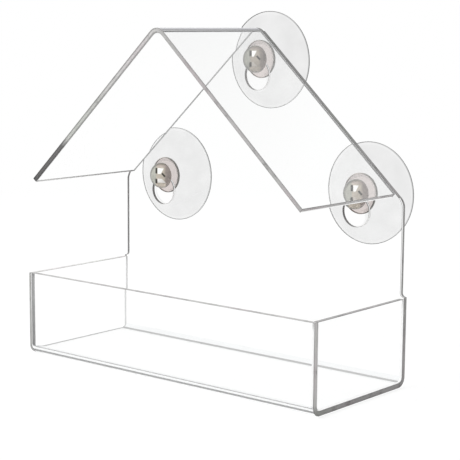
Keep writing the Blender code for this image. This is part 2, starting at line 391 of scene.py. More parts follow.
def between(place, low, high, first, last):
    """A value that goes from first to last while a place goes from low to high."""
    along = min(max((place - low) / (high - low), 0), 1)
    return first + (last - first) * along


def mark_faces(piece, rule):
    """Give each face the slot that a rule says, from its normal and its middle."""
    for face in piece.data.polygons:
        face.material_index = rule(face.normal, face.center)


# Material helpers


def new_material(name):
    """An empty node material."""
    material = bpy.data.materials.new(name)
    material.use_nodes = True
    material.node_tree.nodes.clear()
    return material


def add(material, kind, values=(), **links):
    """Add a node. values sets its properties and sockets, and links joins sockets to its inputs."""
    node = material.node_tree.nodes.new(kind)
    for key, value in dict(values).items():
        if isinstance(key, str) and hasattr(node, key) and key not in node.inputs:
            setattr(node, key, value)
        else:
            node.inputs[key].default_value = value
    for key, source in links.items():
        material.node_tree.links.new(source, node.inputs[key.replace("_", " ")])
    return node


def link(material, source, node, key):
    """Join a socket to a node's input, or set a plain value there."""
    if isinstance(source, bpy.types.NodeSocket):
        material.node_tree.links.new(source, node.inputs[key])
    else:
        node.inputs[key].default_value = source


def paint(shade):
    """A colour as a colour socket takes it. A shade is a socket or three numbers."""
    return shade if isinstance(shade, bpy.types.NodeSocket) else (*shade, 1)


def output(material, surface):
    """Join a shader to the material's output."""
    add(material, "ShaderNodeOutputMaterial", Surface=surface)


def own_place(material):
    """Places in the object's own space."""
    return add(material, "ShaderNodeTexCoord").outputs["Object"]


def attribute(material, name, kind):
    """An attribute of the mesh, as its Fac, Color or Vector."""
    return add(material, "ShaderNodeAttribute", {"attribute_name": name}).outputs[kind]


def split(material, vector):
    """The X, Y and Z of a vector."""
    return add(material, "ShaderNodeSeparateXYZ", Vector=vector).outputs


def noise(material, scale, detail=3.0, roughness=0.55, stretch=None):
    """Noise in the object's own space, stretched if asked."""
    place = own_place(material)
    if stretch:
        place = add(material, "ShaderNodeMapping", {"Scale": stretch}, Vector=place).outputs["Vector"]
    values = {"Scale": scale, "Detail": detail, "Roughness": roughness}
    return add(material, "ShaderNodeTexNoise", values, Vector=place).outputs["Fac"]


def ramp(material, source, stops):
    """Colours along a value, from (place, colour) stops. A colour may be one grey."""
    node = add(material, "ShaderNodeValToRGB", Fac=source)
    elements = node.color_ramp.elements
    while len(elements) > 1:
        elements.remove(elements[-1])
    for index, (place, shade) in enumerate(stops):
        element = elements[0] if index == 0 else elements.new(place)
        element.position = place
        element.color = (shade, shade, shade, 1) if isinstance(shade, (int, float)) else (*shade, 1)
    return node.outputs["Color"]


def spread(material, source, low, high, to_low, to_high):
    """A value moved from one range to another."""
    values = {"From Min": low, "From Max": high, "To Min": to_low, "To Max": to_high}
    return add(material, "ShaderNodeMapRange", values, Value=source).outputs["Result"]


def maths(material, operation, *values):
    """The result of a sum on sockets and plain numbers."""
    node = add(material, "ShaderNodeMath", {"operation": operation})
    for index, value in enumerate(values):
        link(material, value, node, index)
    return node.outputs[0]


def band(material, source, low, high, soft=0.03):
    """1 while a value is between two places and 0 beyond, with soft borders."""
    rise = spread(material, source, low - soft, low + soft, 0, 1)
    fall = spread(material, source, high - soft, high + soft, 1, 0)
    return maths(material, "MULTIPLY", rise, fall)


def patch(material, first, second):
    """1 where two values each lie in their band. Each is a value, two limits and perhaps a blur."""
    return maths(material, "MULTIPLY", band(material, *first), band(material, *second))


def away_from(material, across, up, centre=(0, 0)):
    """How far a place across and up lies from a centre."""
    node = add(material, "ShaderNodeVectorMath", {"operation": "DISTANCE"})
    link(material, add(material, "ShaderNodeCombineXYZ", X=across, Z=up).outputs[0], node, 0)
    link(material, (centre[0], 0, centre[1]), node, 1)
    return node.outputs["Value"]


def multiply(material, first, second):
    """Two colours multiplied."""
    node = add(material, "ShaderNodeMix", {"data_type": "RGBA", "blend_type": "MULTIPLY"})
    for index, value in ((0, 1.0), (6, first), (7, second)):
        link(material, value, node, index)
    return node.outputs[2]


def mixed(material, mask, below, above):
    """One colour laid over another where a mask is 1."""
    node = add(material, "ShaderNodeMix", {"data_type": "RGBA"})
    for index, value in ((0, mask), (6, paint(below)), (7, paint(above))):
        link(material, value, node, index)
    return node.outputs[2]


def blend(material, mask, below, above):
    """One shader laid over another where a mask is 1."""
    node = add(material, "ShaderNodeMixShader")
    for index, value in enumerate((mask, below, above)):
        link(material, value, node, index)
    return node.outputs[0]


def plastic(material, base, roughness, refraction, values=(), **links):
    """A plastic shader. Its base colour and its roughness may be sockets."""
    node = add(material, "ShaderNodeBsdfPrincipled", {"IOR": refraction, **dict(values)}, **links)
    link(material, paint(base), node, "Base Color")
    link(material, roughness, node, "Roughness")
    return node.outputs[0]


def glass(material, tint, roughness, refraction):
    """A clear plastic shader."""
    return plastic(material, tint, roughness, refraction, {"Transmission Weight": 1.0})


def let_light_through(material, surface, tint):
    """Output a shader that is plainly Transparent to lamps and to light from other surfaces."""
    rays = add(material, "ShaderNodeLightPath").outputs
    either = maths(material, "MAXIMUM", rays["Is Shadow Ray"], rays["Is Diffuse Ray"])
    through = add(material, "ShaderNodeBsdfTransparent", {"Color": (*tint, 1)}).outputs[0]
    output(material, blend(material, either, surface, through))


# Materials of the sheets


def clear_face_material(settings):
    """Polished faces: clear, with faint wiping marks in the gloss."""
    material = new_material("clear_acrylic_face")
    marks = noise(material, 60, detail=4, stretch=(1, 1, 3))
    gloss = spread(material, marks, 0.35, 0.75, 0.0, 0.02)
    clear = glass(material, settings.clear_tint, gloss, settings.refraction)
    let_light_through(material, clear, settings.clear_tint)
    return material


def bend_material(settings):
    """Heated bends: clear, with a faint haze."""
    material = new_material("clear_acrylic_bend")
    haze = noise(material, 90, detail=3, stretch=(0.2, 1, 1))
    gloss = spread(material, haze, 0.3, 0.7, 0.0, 0.05)
    clear = glass(material, settings.bend_tint, gloss, settings.refraction)
    let_light_through(material, clear, settings.clear_tint)
    return material


def with_painted_shade(material, shades):
    """Shades multiplied by the painted shade noted at the corners of each face."""
    return multiply(material, shades, attribute(material, "painted_edge_shade", "Color"))


def haze_material(settings, name, tint, clear_face_on=False):
    """Matt, a little uneven faces: cemented joints, and the bends' creases and the roof's ridge, whose grey
    is painted shade.

    clear_face_on makes them clear where they are looked at square on.
    """
    material = new_material(name)
    runs = noise(material, 160, detail=3, stretch=(0.3, 1, 1))
    base = Vector(tint)
    shades = with_painted_shade(material, ramp(material, runs, [(0.3, base * 0.9), (0.6, base)]))
    surface = plastic(material, shades, spread(material, runs, 0.3, 0.7, 0.35, 0.5), 1.3)
    if clear_face_on:
        slant = add(material, "ShaderNodeLayerWeight", {"Blend": 0.5}).outputs["Facing"]
        hazed = spread(material, slant, 0.15, 0.45, 0, 1)
        clear = glass(material, settings.clear_tint, 0.05, settings.refraction)
        surface = blend(material, hazed, clear, surface)
    let_light_through(material, surface, settings.clear_tint)
    return material


def sawn_material(settings, name, across, along=None, clear_across=None):
    """A sawn edge, blotched and streaked, with a faint pink and green cast.

    across gives its brightness from the sheet's outer face (0) to its inner one (1), and along
    gives an axis, two places on it and the brightness between them. clear_across says where it is polished
    clear, 0 for grey and 1 for clear.
    """
    material = new_material(name)
    depth = attribute(material, "sheet_depth", "Fac")
    base = Vector(settings.edge_tint)
    shades = with_painted_shade(material, ramp(material, depth, [(place, base * grey) for place, grey in across]))
    blotches = noise(material, 210, detail=4, roughness=0.6)
    shades = multiply(material, shades, ramp(material, blotches, [(0.30, 0.55), (0.40, 0.88), (0.55, 1.0)]))
    cast = noise(material, 45, detail=1)
    tints = [(0.3, (0.96, 1.0, 0.95)), (0.5, (1, 1, 1)), (0.7, (1.0, 0.94, 0.96))]
    shades = multiply(material, shades, ramp(material, cast, tints))
    if along:
        axis, low, high, stops = along
        share_along = spread(material, split(material, own_place(material))[axis], low, high, 0, 1)
        shades = multiply(material, shades, ramp(material, share_along, stops))
    saw = noise(material, 2600, detail=2)
    bump = add(material, "ShaderNodeBump", {"Strength": 0.25, "Distance": 0.0001}, Height=saw).outputs[0]
    gloss = spread(material, blotches, 0.3, 0.7, 0.5, 0.3)
    surface = plastic(material, shades, gloss, settings.refraction, Normal=bump)
    if clear_across:
        clear = glass(material, settings.clear_tint, 0.0, settings.refraction)
        surface = blend(material, ramp(material, depth, clear_across), surface, clear)
    output(material, surface)
    return material


def cut_edge_material(settings):
    """Sawn ends, slopes and rims: a little darker along both borders."""
    across = [(0.0, 0.80), (0.2, 0.85), (0.4, 1.0), (0.65, 1.0), (0.85, 0.85), (1.0, 0.80)]
    return sawn_material(settings, "sawn_acrylic_edge", across)


def part_clear_material(settings):
    """Edges with a dark outer part and a polished clear part beside the inner face."""
    across = [(0.0, 0.9), (0.3, 1.0), (0.7, 0.9)]
    return sawn_material(settings, "part_polished_edge", across, clear_across=[(0.66, 0.0), (0.74, 1.0)])


def keyhole_material(settings):
    """The walls of the keyholes: dark beside the front face, polished clear at the back."""
    across = [(0.3, 0.9), (0.7, 1.0), (1.0, 0.9)]
    return sawn_material(settings, "keyhole_wall", across, clear_across=[(0.34, 1.0), (0.42, 0.0)])


def gable_material(settings):
    """The roof's left front edge: pale between two darker lines, and darkened near the eave by painted shade.
    """
    across = [(0.0, 0.50), (0.2, 0.54), (0.36, 1.0), (0.62, 1.0), (0.78, 0.54), (1.0, 0.50)]
    stops = [(0.0, 0.04), (0.03, 0.18), (0.14, 0.20), (0.24, 0.24), (0.30, 0.85), (1.0, 1.0)]
    return sawn_material(settings, "sawn_gable_edge", across, ("X", -roof_high[0], 0, stops))


def arris_material(settings):
    """The thin chamfers beside a sawn edge, a little darker than it and shiny."""
    material = new_material("acrylic_arris")
    base = Vector(settings.edge_tint) * settings.arris_grey
    breaks = noise(material, 220, detail=3)
    shades = ramp(material, breaks, [(0.3, base * 0.7), (0.55, base), (0.75, base * 1.3)])
    output(material, plastic(material, with_painted_shade(material, shades), 0.2, settings.refraction))
    return material


def joint_and_crease_shade_material(settings):
    """Cemented joints, and the creases beside the tray's bends painted grey as shade."""
    return haze_material(settings, "joint_haze_and_crease_shade", (1, 1, 1))


def hazed_ridge_material(settings):
    """The roof's bend, matt where seen edge on, with painted shade: bright along its top and dark where the
    slopes begin.
    """
    return haze_material(settings, "ridge_painted_shade", settings.ridge_tint, True)


def sheet_materials(settings):
    """The finishes of a sheet, in the order of its slots, made once."""
    makers = {
        "clear_acrylic_face": clear_face_material,
        "clear_acrylic_bend": bend_material,
        "sawn_acrylic_edge": cut_edge_material,
        "acrylic_arris": arris_material,
        "part_polished_edge": part_clear_material,
        "keyhole_wall": keyhole_material,
        "sawn_gable_edge": gable_material,
        "joint_haze_and_crease_shade": joint_and_crease_shade_material,
        "ridge_painted_shade": hazed_ridge_material,
    }
    return [bpy.data.materials.get(name) or make(settings) for name, make in makers.items()]


# Materials of the cups. The attribute cup_place gives places in head radii, from the cup's axis at the
# back of its head.


def skirt_painted_patch_and_rim(material, settings, shades):
    """Shades with a white patch painted where the keyhole's hole lies, and a grey border painted as the rim's
    shade.
    """
    parts = split(material, attribute(material, "cup_place", "Vector"))
    # A white patch painted where the keyhole's large hole lies
    across, up, radius = settings.painted_white_patch
    away = away_from(material, parts["X"], parts["Z"], (across, up))
    inside = spread(material, away, radius - 0.1, radius, 1, 0)
    shades = mixed(material, inside, shades, (1, 1, 1))
    # Painted shade: a grey ring at the rim, where the plastic is seen edge on
    out = away_from(material, parts["X"], parts["Z"])
    border = spread(material, out, settings.rim_reach - 0.01, settings.rim_reach + 0.01, 0, 1)
    return mixed(material, border, shades, [settings.border_grey] * 3)


def soft_plastic_material(name, tint, refraction, roughness, marks=None):
    """Clear soft plastic of a cup, a little cloudier in places. marks are the settings of a skirt's painted
    patch and rim.
    """
    material = new_material(name)
    flow = noise(material, 120, detail=2)
    base = Vector(tint)
    shades = ramp(material, flow, [(0.3, base * 0.92), (0.7, base)])
    if marks:
        shades = skirt_painted_patch_and_rim(material, marks, shades)
    gloss = spread(material, flow, 0.3, 0.7, roughness, roughness * 2)
    let_light_through(material, glass(material, shades, gloss, refraction), tint)
    return material


def thick_plastic_material(name, left, right, reach):
    """The skirt's and the collar's rims, where the soft plastic is seen edge on: painted shade, grey and
    darker on the right.

    reach is how far from the cup's axis the two colours lie, in head radii.
    """
    material = new_material(name)
    across = split(material, attribute(material, "cup_place", "Vector"))["X"]
    side_shade = ramp(material, spread(material, across, -reach, reach, 0, 1), [(0.45, left), (0.65, right)])
    flow = noise(material, 140, detail=2)
    shades = multiply(material, side_shade, ramp(material, flow, [(0.3, 0.8), (0.7, 1.0)]))
    output(material, plastic(material, shades, 0.3, 1.4))
    return material


def painted_head_shading(material, settings, across, up, flow, along_panel):
    """Painted shade and reflection: a greenish far side, a beige middle and a taupe flank, darker on the top
    and right cups.
    """
    pale, dark = Vector(settings.head_pale), Vector(settings.head_dark)
    shades = ramp(material, spread(material, across, -1, 1, 0, 1), [
        (0.25, settings.head_green), (0.30, pale * 0.95), (0.58, pale), (0.66, dark), (0.9, dark * 0.95),
    ])
    # Painted light and shade: a paler foot and a darker band across the crown
    low = spread(material, up, -0.5, -0.62, 0, 1)
    foot = maths(material, "MULTIPLY", low, band(material, across, -0.5, 0.3))
    shades = mixed(material, foot, shades, pale * 1.12)
    crown = patch(material, (up, 0.72, 0.84, 0.05), (across, -0.45, 0.35, 0.1))
    shades = mixed(material, crown, shades, dark * 1.3)
    shades = multiply(material, shades, ramp(material, flow, [(0.35, 0.82), (0.6, 1.0)]))
    # Painted shade: the top and right heads, which sit behind the roof's slope, are darkened
    behind_slope_shade = ramp(material, along_panel, [(0.2, 1.0), (0.4, 0.76), (0.6, 0.76), (0.8, 0.92)])
    return multiply(material, shades, behind_slope_shade)


def gleam(material, across, up, heights, lean, edge, left_cup, left_shift):
    """A painted highlight beside the dark reflections, between two heights, up to a slanting edge, wider on
    the left cup.
    """
    inside = patch(material, (across, -0.35, 0.5), (up, *heights))
    slant = maths(material, "MULTIPLY_ADD", up, lean, across)
    slant = maths(material, "MULTIPLY_ADD", left_cup, left_shift, slant)
    return maths(material, "MULTIPLY", inside, spread(material, slant, edge + 0.03, edge - 0.03, 0, 1))


def painted_dark_reflections(material, settings, across, up):
    """1 on the head's three painted dark reflections: two upright bars and a slanting one."""
    bars = maths(material, "ADD", band(material, up, 0.22, 0.64), band(material, up, -0.57, -0.20))
    bars = maths(material, "MULTIPLY", bars, band(material, across, -0.52, -0.36, 0.02))
    sine, cosine = math.sin(settings.dark_reflection_slant), math.cos(settings.dark_reflection_slant)
    off = maths(material, "MULTIPLY_ADD", up, sine, maths(material, "MULTIPLY", across, cosine))
    run = maths(material, "MULTIPLY_ADD", up, -cosine, maths(material, "MULTIPLY", across, sine))
    third = patch(material, (off, 0.10, 0.24, 0.02), (run, -0.19, 0.17))
    return maths(material, "MAXIMUM", bars, third)


def head_material(settings):
    """The mushroom head: its colours, two highlights, the dark reflections and a dark border, all painted,
    and a glossy skin.
    """
    material = new_material("cup_head_plastic")
    # The painted light is laid out turned about the upright, to face the front right
    rotation = {"Rotation": (0, 0, -settings.painted_light_turn)}
    place = attribute(material, "cup_place", "Vector")
    parts = split(material, add(material, "ShaderNodeMapping", rotation, Vector=place).outputs["Vector"])
    across, up = parts["X"], parts["Z"]
    flow = noise(material, 420, detail=3)
    along_panel = spread(material, split(material, own_place(material))["X"], -0.05, 0.05, 0, 1)
    left_cup = spread(material, along_panel, 0.2, 0.3, 1, 0)

    shades = painted_head_shading(material, settings, across, up, flow, along_panel)
    # Painted highlights: two pale patches, larger on the left cup
    upper = gleam(material, across, up, (0.20, 0.62), -0.5, -0.30, left_cup, -0.12)
    shades = mixed(material, upper, shades, settings.upper_gleam)
    lower = gleam(material, across, up, (-0.50, -0.18), 0.9, -0.40, left_cup, -0.24)
    lower = maths(material, "MULTIPLY", lower, spread(material, left_cup, 0, 1, 0.25, 0.9))
    shades = mixed(material, lower, shades, settings.lower_gleam)
    # Painted dark reflections: three near-black spots
    shades = mixed(material, painted_dark_reflections(material, settings, across, up), shades, settings.dark_reflection_colour)
    # Painted shade: the head darkens towards its rim as it is seen turned to the front right
    border = ramp(material, away_from(material, across, up), [(0.82, 1.0), (0.95, 0.35)])
    shades = multiply(material, shades, border)

    gloss = spread(material, flow, 0.3, 0.7, 0.18, 0.3)
    coat = {"Coat Weight": 0.1, "Coat Roughness": 0.05}
    output(material, plastic(material, shades, gloss, 1.35, coat))
    return material


def cup_materials(settings):
    """The finishes of a cup, in the order of its slots."""
    thin, thick = settings.skirt_refraction, settings.collar_refraction
    lip_tint = [0.5 + shade / 2 for shade in settings.skirt_tint]
    outlines = (settings.outline_left, settings.outline_right, settings.rim_reach)
    collar_rims = (settings.collar_left, settings.collar_right, settings.collar_reach)
    return (
        soft_plastic_material("cup_skirt_plastic", settings.skirt_tint, thin, 0.02, settings),
        soft_plastic_material("cup_lip_plastic", lip_tint, thin, 0.02),
        thick_plastic_material("cup_rim_plastic", *outlines),
        soft_plastic_material("cup_collar_plastic", settings.collar_tint, thick, 0.03),
        thick_plastic_material("collar_rim_plastic", *collar_rims),
        head_material(settings),
    )


# Sheets


def roof_pitch(settings):
    """Slope of the roof and of the back panel's upper edges."""
    return math.atan2(settings.ridge_height - settings.eave_height, half_width - settings.panel_inset)


def trim(test, point, outward):
    """Cut the faces that pass a test by a plane, and drop those on its outward side."""
    pick("FACE", test)
    bpy.ops.mesh.bisect(plane_co=point, plane_no=outward)
    point, outward = Vector(point), Vector(outward)
    pick("FACE", lambda face: test(face) and (middle(face) - point).dot(outward) > near)
    bpy.ops.mesh.delete(type="FACE")


def round_corner(across, up, radius, interior, faces):
    """Round the back panel's outline at a corner and at its mirror image, given the angle inside it."""
    def at_corner(corner):
        return abs(abs(corner.co.x) - across) < near and abs(corner.co.z - up) < near

    pick("VERT", at_corner)
    bpy.ops.mesh.bevel(offset=radius / math.tan(interior / 2), segments=faces, affect="VERTICES")


def polish(piece, settings, depth, tone):
    """Chamfer the sawn edges, shade the bends smooth, and note how deep in the sheet each corner lies.

    depth gives how far a place is under the sheet's outer face. tone gives the painted shade of a sawn or
    hazed face at a corner, from the face's normal and middle and the corner's place.
    """
    hold(piece)
    bpy.ops.object.mode_set(mode="EDIT")
    pick("EDGE", lambda edge: edge.calc_face_angle(0) > sharp_angle and any(
        face.material_index in sawn_slots for face in edge.link_faces))
    bpy.ops.transform.edge_bevelweight(value=1)
    bpy.ops.object.mode_set(mode="OBJECT")
    apply_modifier(
        piece, "BEVEL", width=settings.arris, segments=1, limit_method="WEIGHT", material=ARRIS,
        use_clamp_overlap=True,
    )
    bpy.ops.object.shade_smooth_by_angle(angle=smooth_angle)
    apply_modifier(piece, "WEIGHTED_NORMAL", keep_sharp=True, weight=100)
    layer = piece.data.attributes.new("sheet_depth", "FLOAT", "POINT")
    for corner, value in zip(piece.data.vertices, layer.data):
        value.value = min(max(depth(corner.co) / sheet, 0), 1)
    # Painted shade of each sawn and hazed face, kept at its corners
    layer = piece.data.attributes.new("painted_edge_shade", "FLOAT", "CORNER")
    for face in piece.data.polygons:
        for index in face.loop_indices:
            place = piece.data.vertices[piece.data.loops[index].vertex_index].co
            layer.data[index].value = tone(face.normal, face.center, place)
    bpy.ops.object.material_slot_remove_unused()


def dress_sheet(piece, settings, rule, depth, tone, node):
    """Give a sheet its finishes, its chamfers and its painted shade, and hang it under its body's empty."""
    mark_faces(piece, rule)
    for material in sheet_materials(settings):
        piece.data.materials.append(material)
    polish(piece, settings, depth, tone)
    finish_piece(piece, "feeder", "clear_acrylic", node)


def keyhole_cutter(settings):
    """A keyhole's slot and large hole as one cutter about the cup's axis."""
    depth = 3 * sheet
    begin()
    bpy.ops.mesh.primitive_cylinder_add(
        vertices=settings.round_steps, radius=settings.hole_radius, depth=depth,
        location=(0, 0, -settings.hole_drop), rotation=(math.pi / 2, 0, 0),
    )
    hole = bpy.context.object
    begin()
    bpy.ops.mesh.primitive_cube_add(size=1, location=(0, 0, 0))
    slot = bpy.context.object
    bpy.ops.object.mode_set(mode="EDIT")
    top = settings.slot_radius
    reach = settings.hole_drop + top
    bpy.ops.transform.resize(value=(2 * settings.slot_radius, depth, reach))
    bpy.ops.transform.translate(value=(0, 0, top - reach / 2))
    pick("EDGE", lambda edge: lies(edge, z=top) and abs(edge.verts[0].co.x - edge.verts[1].co.x) < near)
    bpy.ops.mesh.bevel(offset=top * straight, segments=settings.bend_steps, affect="EDGES")
    bpy.ops.object.mode_set(mode="OBJECT")
    apply_modifier(slot, "BOOLEAN", operation="UNION", object=hole, solver="EXACT")
    bpy.data.objects.remove(hole, do_unlink=True)
    return slot


class FEEDER_OT_body_sheet(Operator):
    """Add the tray's front wall, floor and back panel, bent from one clear sheet"""

    bl_idname = "feeder.body_sheet"
    bl_label = "Body Sheet"

    def execute(self, context):
        settings = context.scene.feeder_sheets
        piece = self.bent_sheet(settings)
        self.cut_back_panel(settings)
        bpy.ops.object.mode_set(mode="OBJECT")
        apply_modifier(piece, "SOLIDIFY", thickness=sheet, offset=1, use_even_offset=True)
        cutter = keyhole_cutter(settings)
        for axis in cup_axes:
            cutter.location = (axis.x, rear_y - sheet / 2, axis.z)
            apply_modifier(piece, "BOOLEAN", operation="DIFFERENCE", object=cutter, solver="EXACT")
        bpy.data.objects.remove(cutter, do_unlink=True)

        reach = settings.hole_drop + settings.hole_radius + sheet

        def in_keyhole(place):
            return any(math.hypot(place.x - axis.x, place.z - axis.z) < reach for axis in cup_axes)

        def rule(normal, centre):
            if abs(normal.x) > straight and abs(centre.x) > half_width - near:
                return CUT
            if centre.z > tray_height - near and abs(normal.y) < 1 - straight:
                if centre.y > 0 and in_keyhole(centre):
                    return KEYHOLE
                return PART_CLEAR if centre.y > 0 and centre.x > 0 and centre.z < roof_low[2] else CUT
            if abs(normal.y) > straight or abs(normal.z) > straight:
                return CLEAR
            # The creases beside the floor and the fold at the front bend's foot take the hazed slot: grey
            # lines painted as shade
            if abs(centre.y) < rear_y - sheet and centre.z > sheet:
                return HAZE if normal.z > 0.8 else BEND
            return HAZE if centre.y < 0 and normal.z < -0.9 else BEND

        def keyhole_painted_shade(normal):
            """Painted shade: dark on the left, pale on the right, and dark again at the upper right."""
            if normal.x < -0.5 and -0.8 < normal.z < -0.1:
                return settings.keyhole
            return between(normal.x, -0.4, 0.2, settings.keyhole_pale, settings.keyhole)

        # Painted shade of the sawn and hazed faces, by side and height: the creases and the fold, the ends
        # darker at the foot, the keyholes, the rims, and the uprights darker on the left
        def tone(normal, centre, place):
            if place.z < settings.tray_bend + near:
                if abs(centre.x) < half_width - settings.arris * 2:
                    if centre.z < sheet:
                        return settings.fold
                    return settings.front_crease if centre.y < 0 else settings.rear_crease
                wall = settings.front_wall_foot if place.y < 0 else settings.back_end
                return between(place.z, sheet, settings.tray_bend, settings.floor_end, wall)
            if place.y < 0:
                return settings.front_wall_end if abs(normal.x) > 0.5 else settings.front_rim
            if in_keyhole(place):
                return keyhole_painted_shade(normal)
            if place.z < tray_height + near:
                return settings.back_end
            if place.z > roof_low[2]:
                return settings.back_slope
            return settings.left_upright if place.x < 0 else settings.right_upright

        def depth(place):
            across, down = rear_y - settings.tray_bend - abs(place.y), settings.tray_bend - place.z
            if across < 0 < down:
                return settings.tray_bend - math.hypot(across, down)
            return min(rear_y - abs(place.y), place.z)

        dress_sheet(piece, settings, rule, depth, tone, "body_sheet")
        return {"FINISHED"}

    def bent_sheet(self, settings):
        """The outer faces of the front wall, the floor and the back, bent up and left in edit mode."""
        piece = plane("tray_and_back_sheet", (-half_width, front_y, 0), (half_width, rear_y, 0))
        pick("EDGE", lambda edge: lies(edge, y=front_y))
        extrude((0, 0, tray_height))
        pick("EDGE", lambda edge: lies(edge, y=rear_y, z=0))
        extrude((0, 0, settings.ridge_height))
        pick("EDGE", lambda edge: lies(edge, y=front_y, z=0) or lies(edge, y=rear_y, z=0))
        bpy.ops.mesh.bevel(
            offset=settings.tray_bend, segments=settings.bend_steps, profile=0.5, affect="EDGES",
        )
        return piece

    def cut_back_panel(self, settings):
        """Cut the back to its house shape and round its corners."""
        upper_half = half_width - settings.panel_inset
        shoulder = tray_height + settings.shoulder_rise
        pitch = roof_pitch(settings)
        apex = (0, rear_y, settings.ridge_height)

        def back(face):
            return lies(face, y=rear_y)

        def upper(face):
            return back(face) and middle(face).z > shoulder

        trim(back, apex, (math.sin(pitch), 0, math.cos(pitch)))
        trim(back, apex, (-math.sin(pitch), 0, math.cos(pitch)))
        pick("FACE", back)
        bpy.ops.mesh.bisect(plane_co=(0, rear_y, shoulder), plane_no=(0, 0, 1))
        trim(upper, (upper_half, rear_y, 0), (1, 0, 0))
        trim(upper, (-upper_half, rear_y, 0), (-1, 0, 0))
        pick("EDGE", lambda edge: lies(edge, y=rear_y, z=shoulder) and len(edge.link_faces) == 2)
        bpy.ops.mesh.dissolve_edges(use_verts=False)
        faces = settings.bend_steps
        round_corner(0, settings.ridge_height, settings.ridge_bend, math.pi - 2 * pitch, faces)
        round_corner(upper_half, settings.eave_height, settings.eave_radius, math.pi / 2 + pitch, faces)
        round_corner(upper_half, shoulder, settings.shoulder_radius, math.pi / 2, faces)


def gable(settings):
    """The bent roof as a solid, square at its front."""
    pitch = roof_pitch(settings)
    half_span = roof_high[0]
    eave = settings.ridge_height - half_span * math.tan(pitch)
    low, high = (-half_span, roof_low[1], eave), (half_span, roof_high[1], eave)
    piece = plane("gable_roof_sheet", low, high)
    bpy.ops.mesh.bisect(plane_co=(0, 0, 0), plane_no=(1, 0, 0))
    pick("EDGE", lambda edge: lies(edge, x=0))
    bpy.ops.transform.translate(value=(0, 0, settings.ridge_height - eave))
    bpy.ops.mesh.bevel(
        offset=settings.ridge_bend * math.tan(pitch), segments=settings.bend_steps, profile=0.5,
        affect="EDGES",
    )
    bpy.ops.object.mode_set(mode="OBJECT")
    apply_modifier(piece, "SOLIDIFY", thickness=sheet, offset=-1, use_even_offset=True)
    return piece


class FEEDER_OT_roof_sheet(Operator):
    """Add the gable roof, bent from one clear sheet"""

    bl_idname = "feeder.roof_sheet"
    bl_label = "Roof Sheet"

    def execute(self, context):
        settings = context.scene.feeder_sheets
        piece = gable(settings)
        pitch = roof_pitch(settings)
        bend_half = settings.ridge_bend * math.sin(pitch)
        bend_middle = settings.ridge_height - settings.ridge_bend / math.cos(pitch)
        haze_half = bend_half * settings.ridge_haze
        crown_half = bend_half * settings.ridge_crown

        def depth(place):
            if abs(place.x) < bend_half:
                return settings.ridge_bend - math.hypot(place.x, place.z - bend_middle)
            return (settings.ridge_height - place.z) * math.cos(pitch) - abs(place.x) * math.sin(pitch)

        def right_eave(face):
            return middle(face).x > roof_high[0] - sheet and face.normal.x > 0 > face.normal.z

        bpy.ops.object.mode_set(mode="EDIT")
        pick("VERT", lambda corner: corner.co.y < roof_low[1] + near and depth(corner.co) > sheet / 2)
        bpy.ops.transform.translate(value=(0, settings.gable_slant, 0))
        for place in (settings.eave_pale_front, settings.eave_pale_rear):
            pick("FACE", right_eave)
            bpy.ops.mesh.bisect(plane_co=(0, place, 0), plane_no=(0, 1, 0))
        bpy.ops.object.mode_set(mode="OBJECT")

        def rule(normal, centre):
            if normal.y < -0.9:
                return GABLE if centre.x < 0 else CUT
            if normal.y > straight:
                return HAZE
            if abs(centre.x) > roof_high[0] - sheet and normal.z < 0 and normal.x * centre.x > 0:
                return CUT if centre.x < 0 else PART_CLEAR
            if abs(centre.x) > bend_half - near:
                return CLEAR
            return RIDGE if abs(centre.x) < haze_half and depth(centre) < sheet / 2 else BEND

        # Painted shade of the roof's sawn and hazed faces: the front edge and the glued edge by side, the
        # bend bright along its top and dark where the slopes begin, and the eaves by side and place
        def tone(normal, centre, place):
            if normal.y < -0.5:
                ends = settings.gable_left_end, settings.gable_right_start
                return between(place.x, *ends, settings.gable_left, settings.gable_right)
            if normal.y > straight:
                return settings.roof_joint_left if centre.x < 0 else settings.roof_joint_right
            if abs(centre.x) < bend_half:
                return between(abs(place.x), crown_half, haze_half, settings.ridge_top, settings.ridge_foot)
            if place.x > 0:
                pale = settings.eave_pale_front < centre.y < settings.eave_pale_rear
                return settings.eave_pale if pale else settings.eave_right
            ends = roof_low[1], roof_high[1]
            return between(place.y, *ends, settings.eave_left_front, settings.eave_left_rear)

        dress_sheet(piece, settings, rule, depth, tone, "roof_sheet")
        return {"FINISHED"}


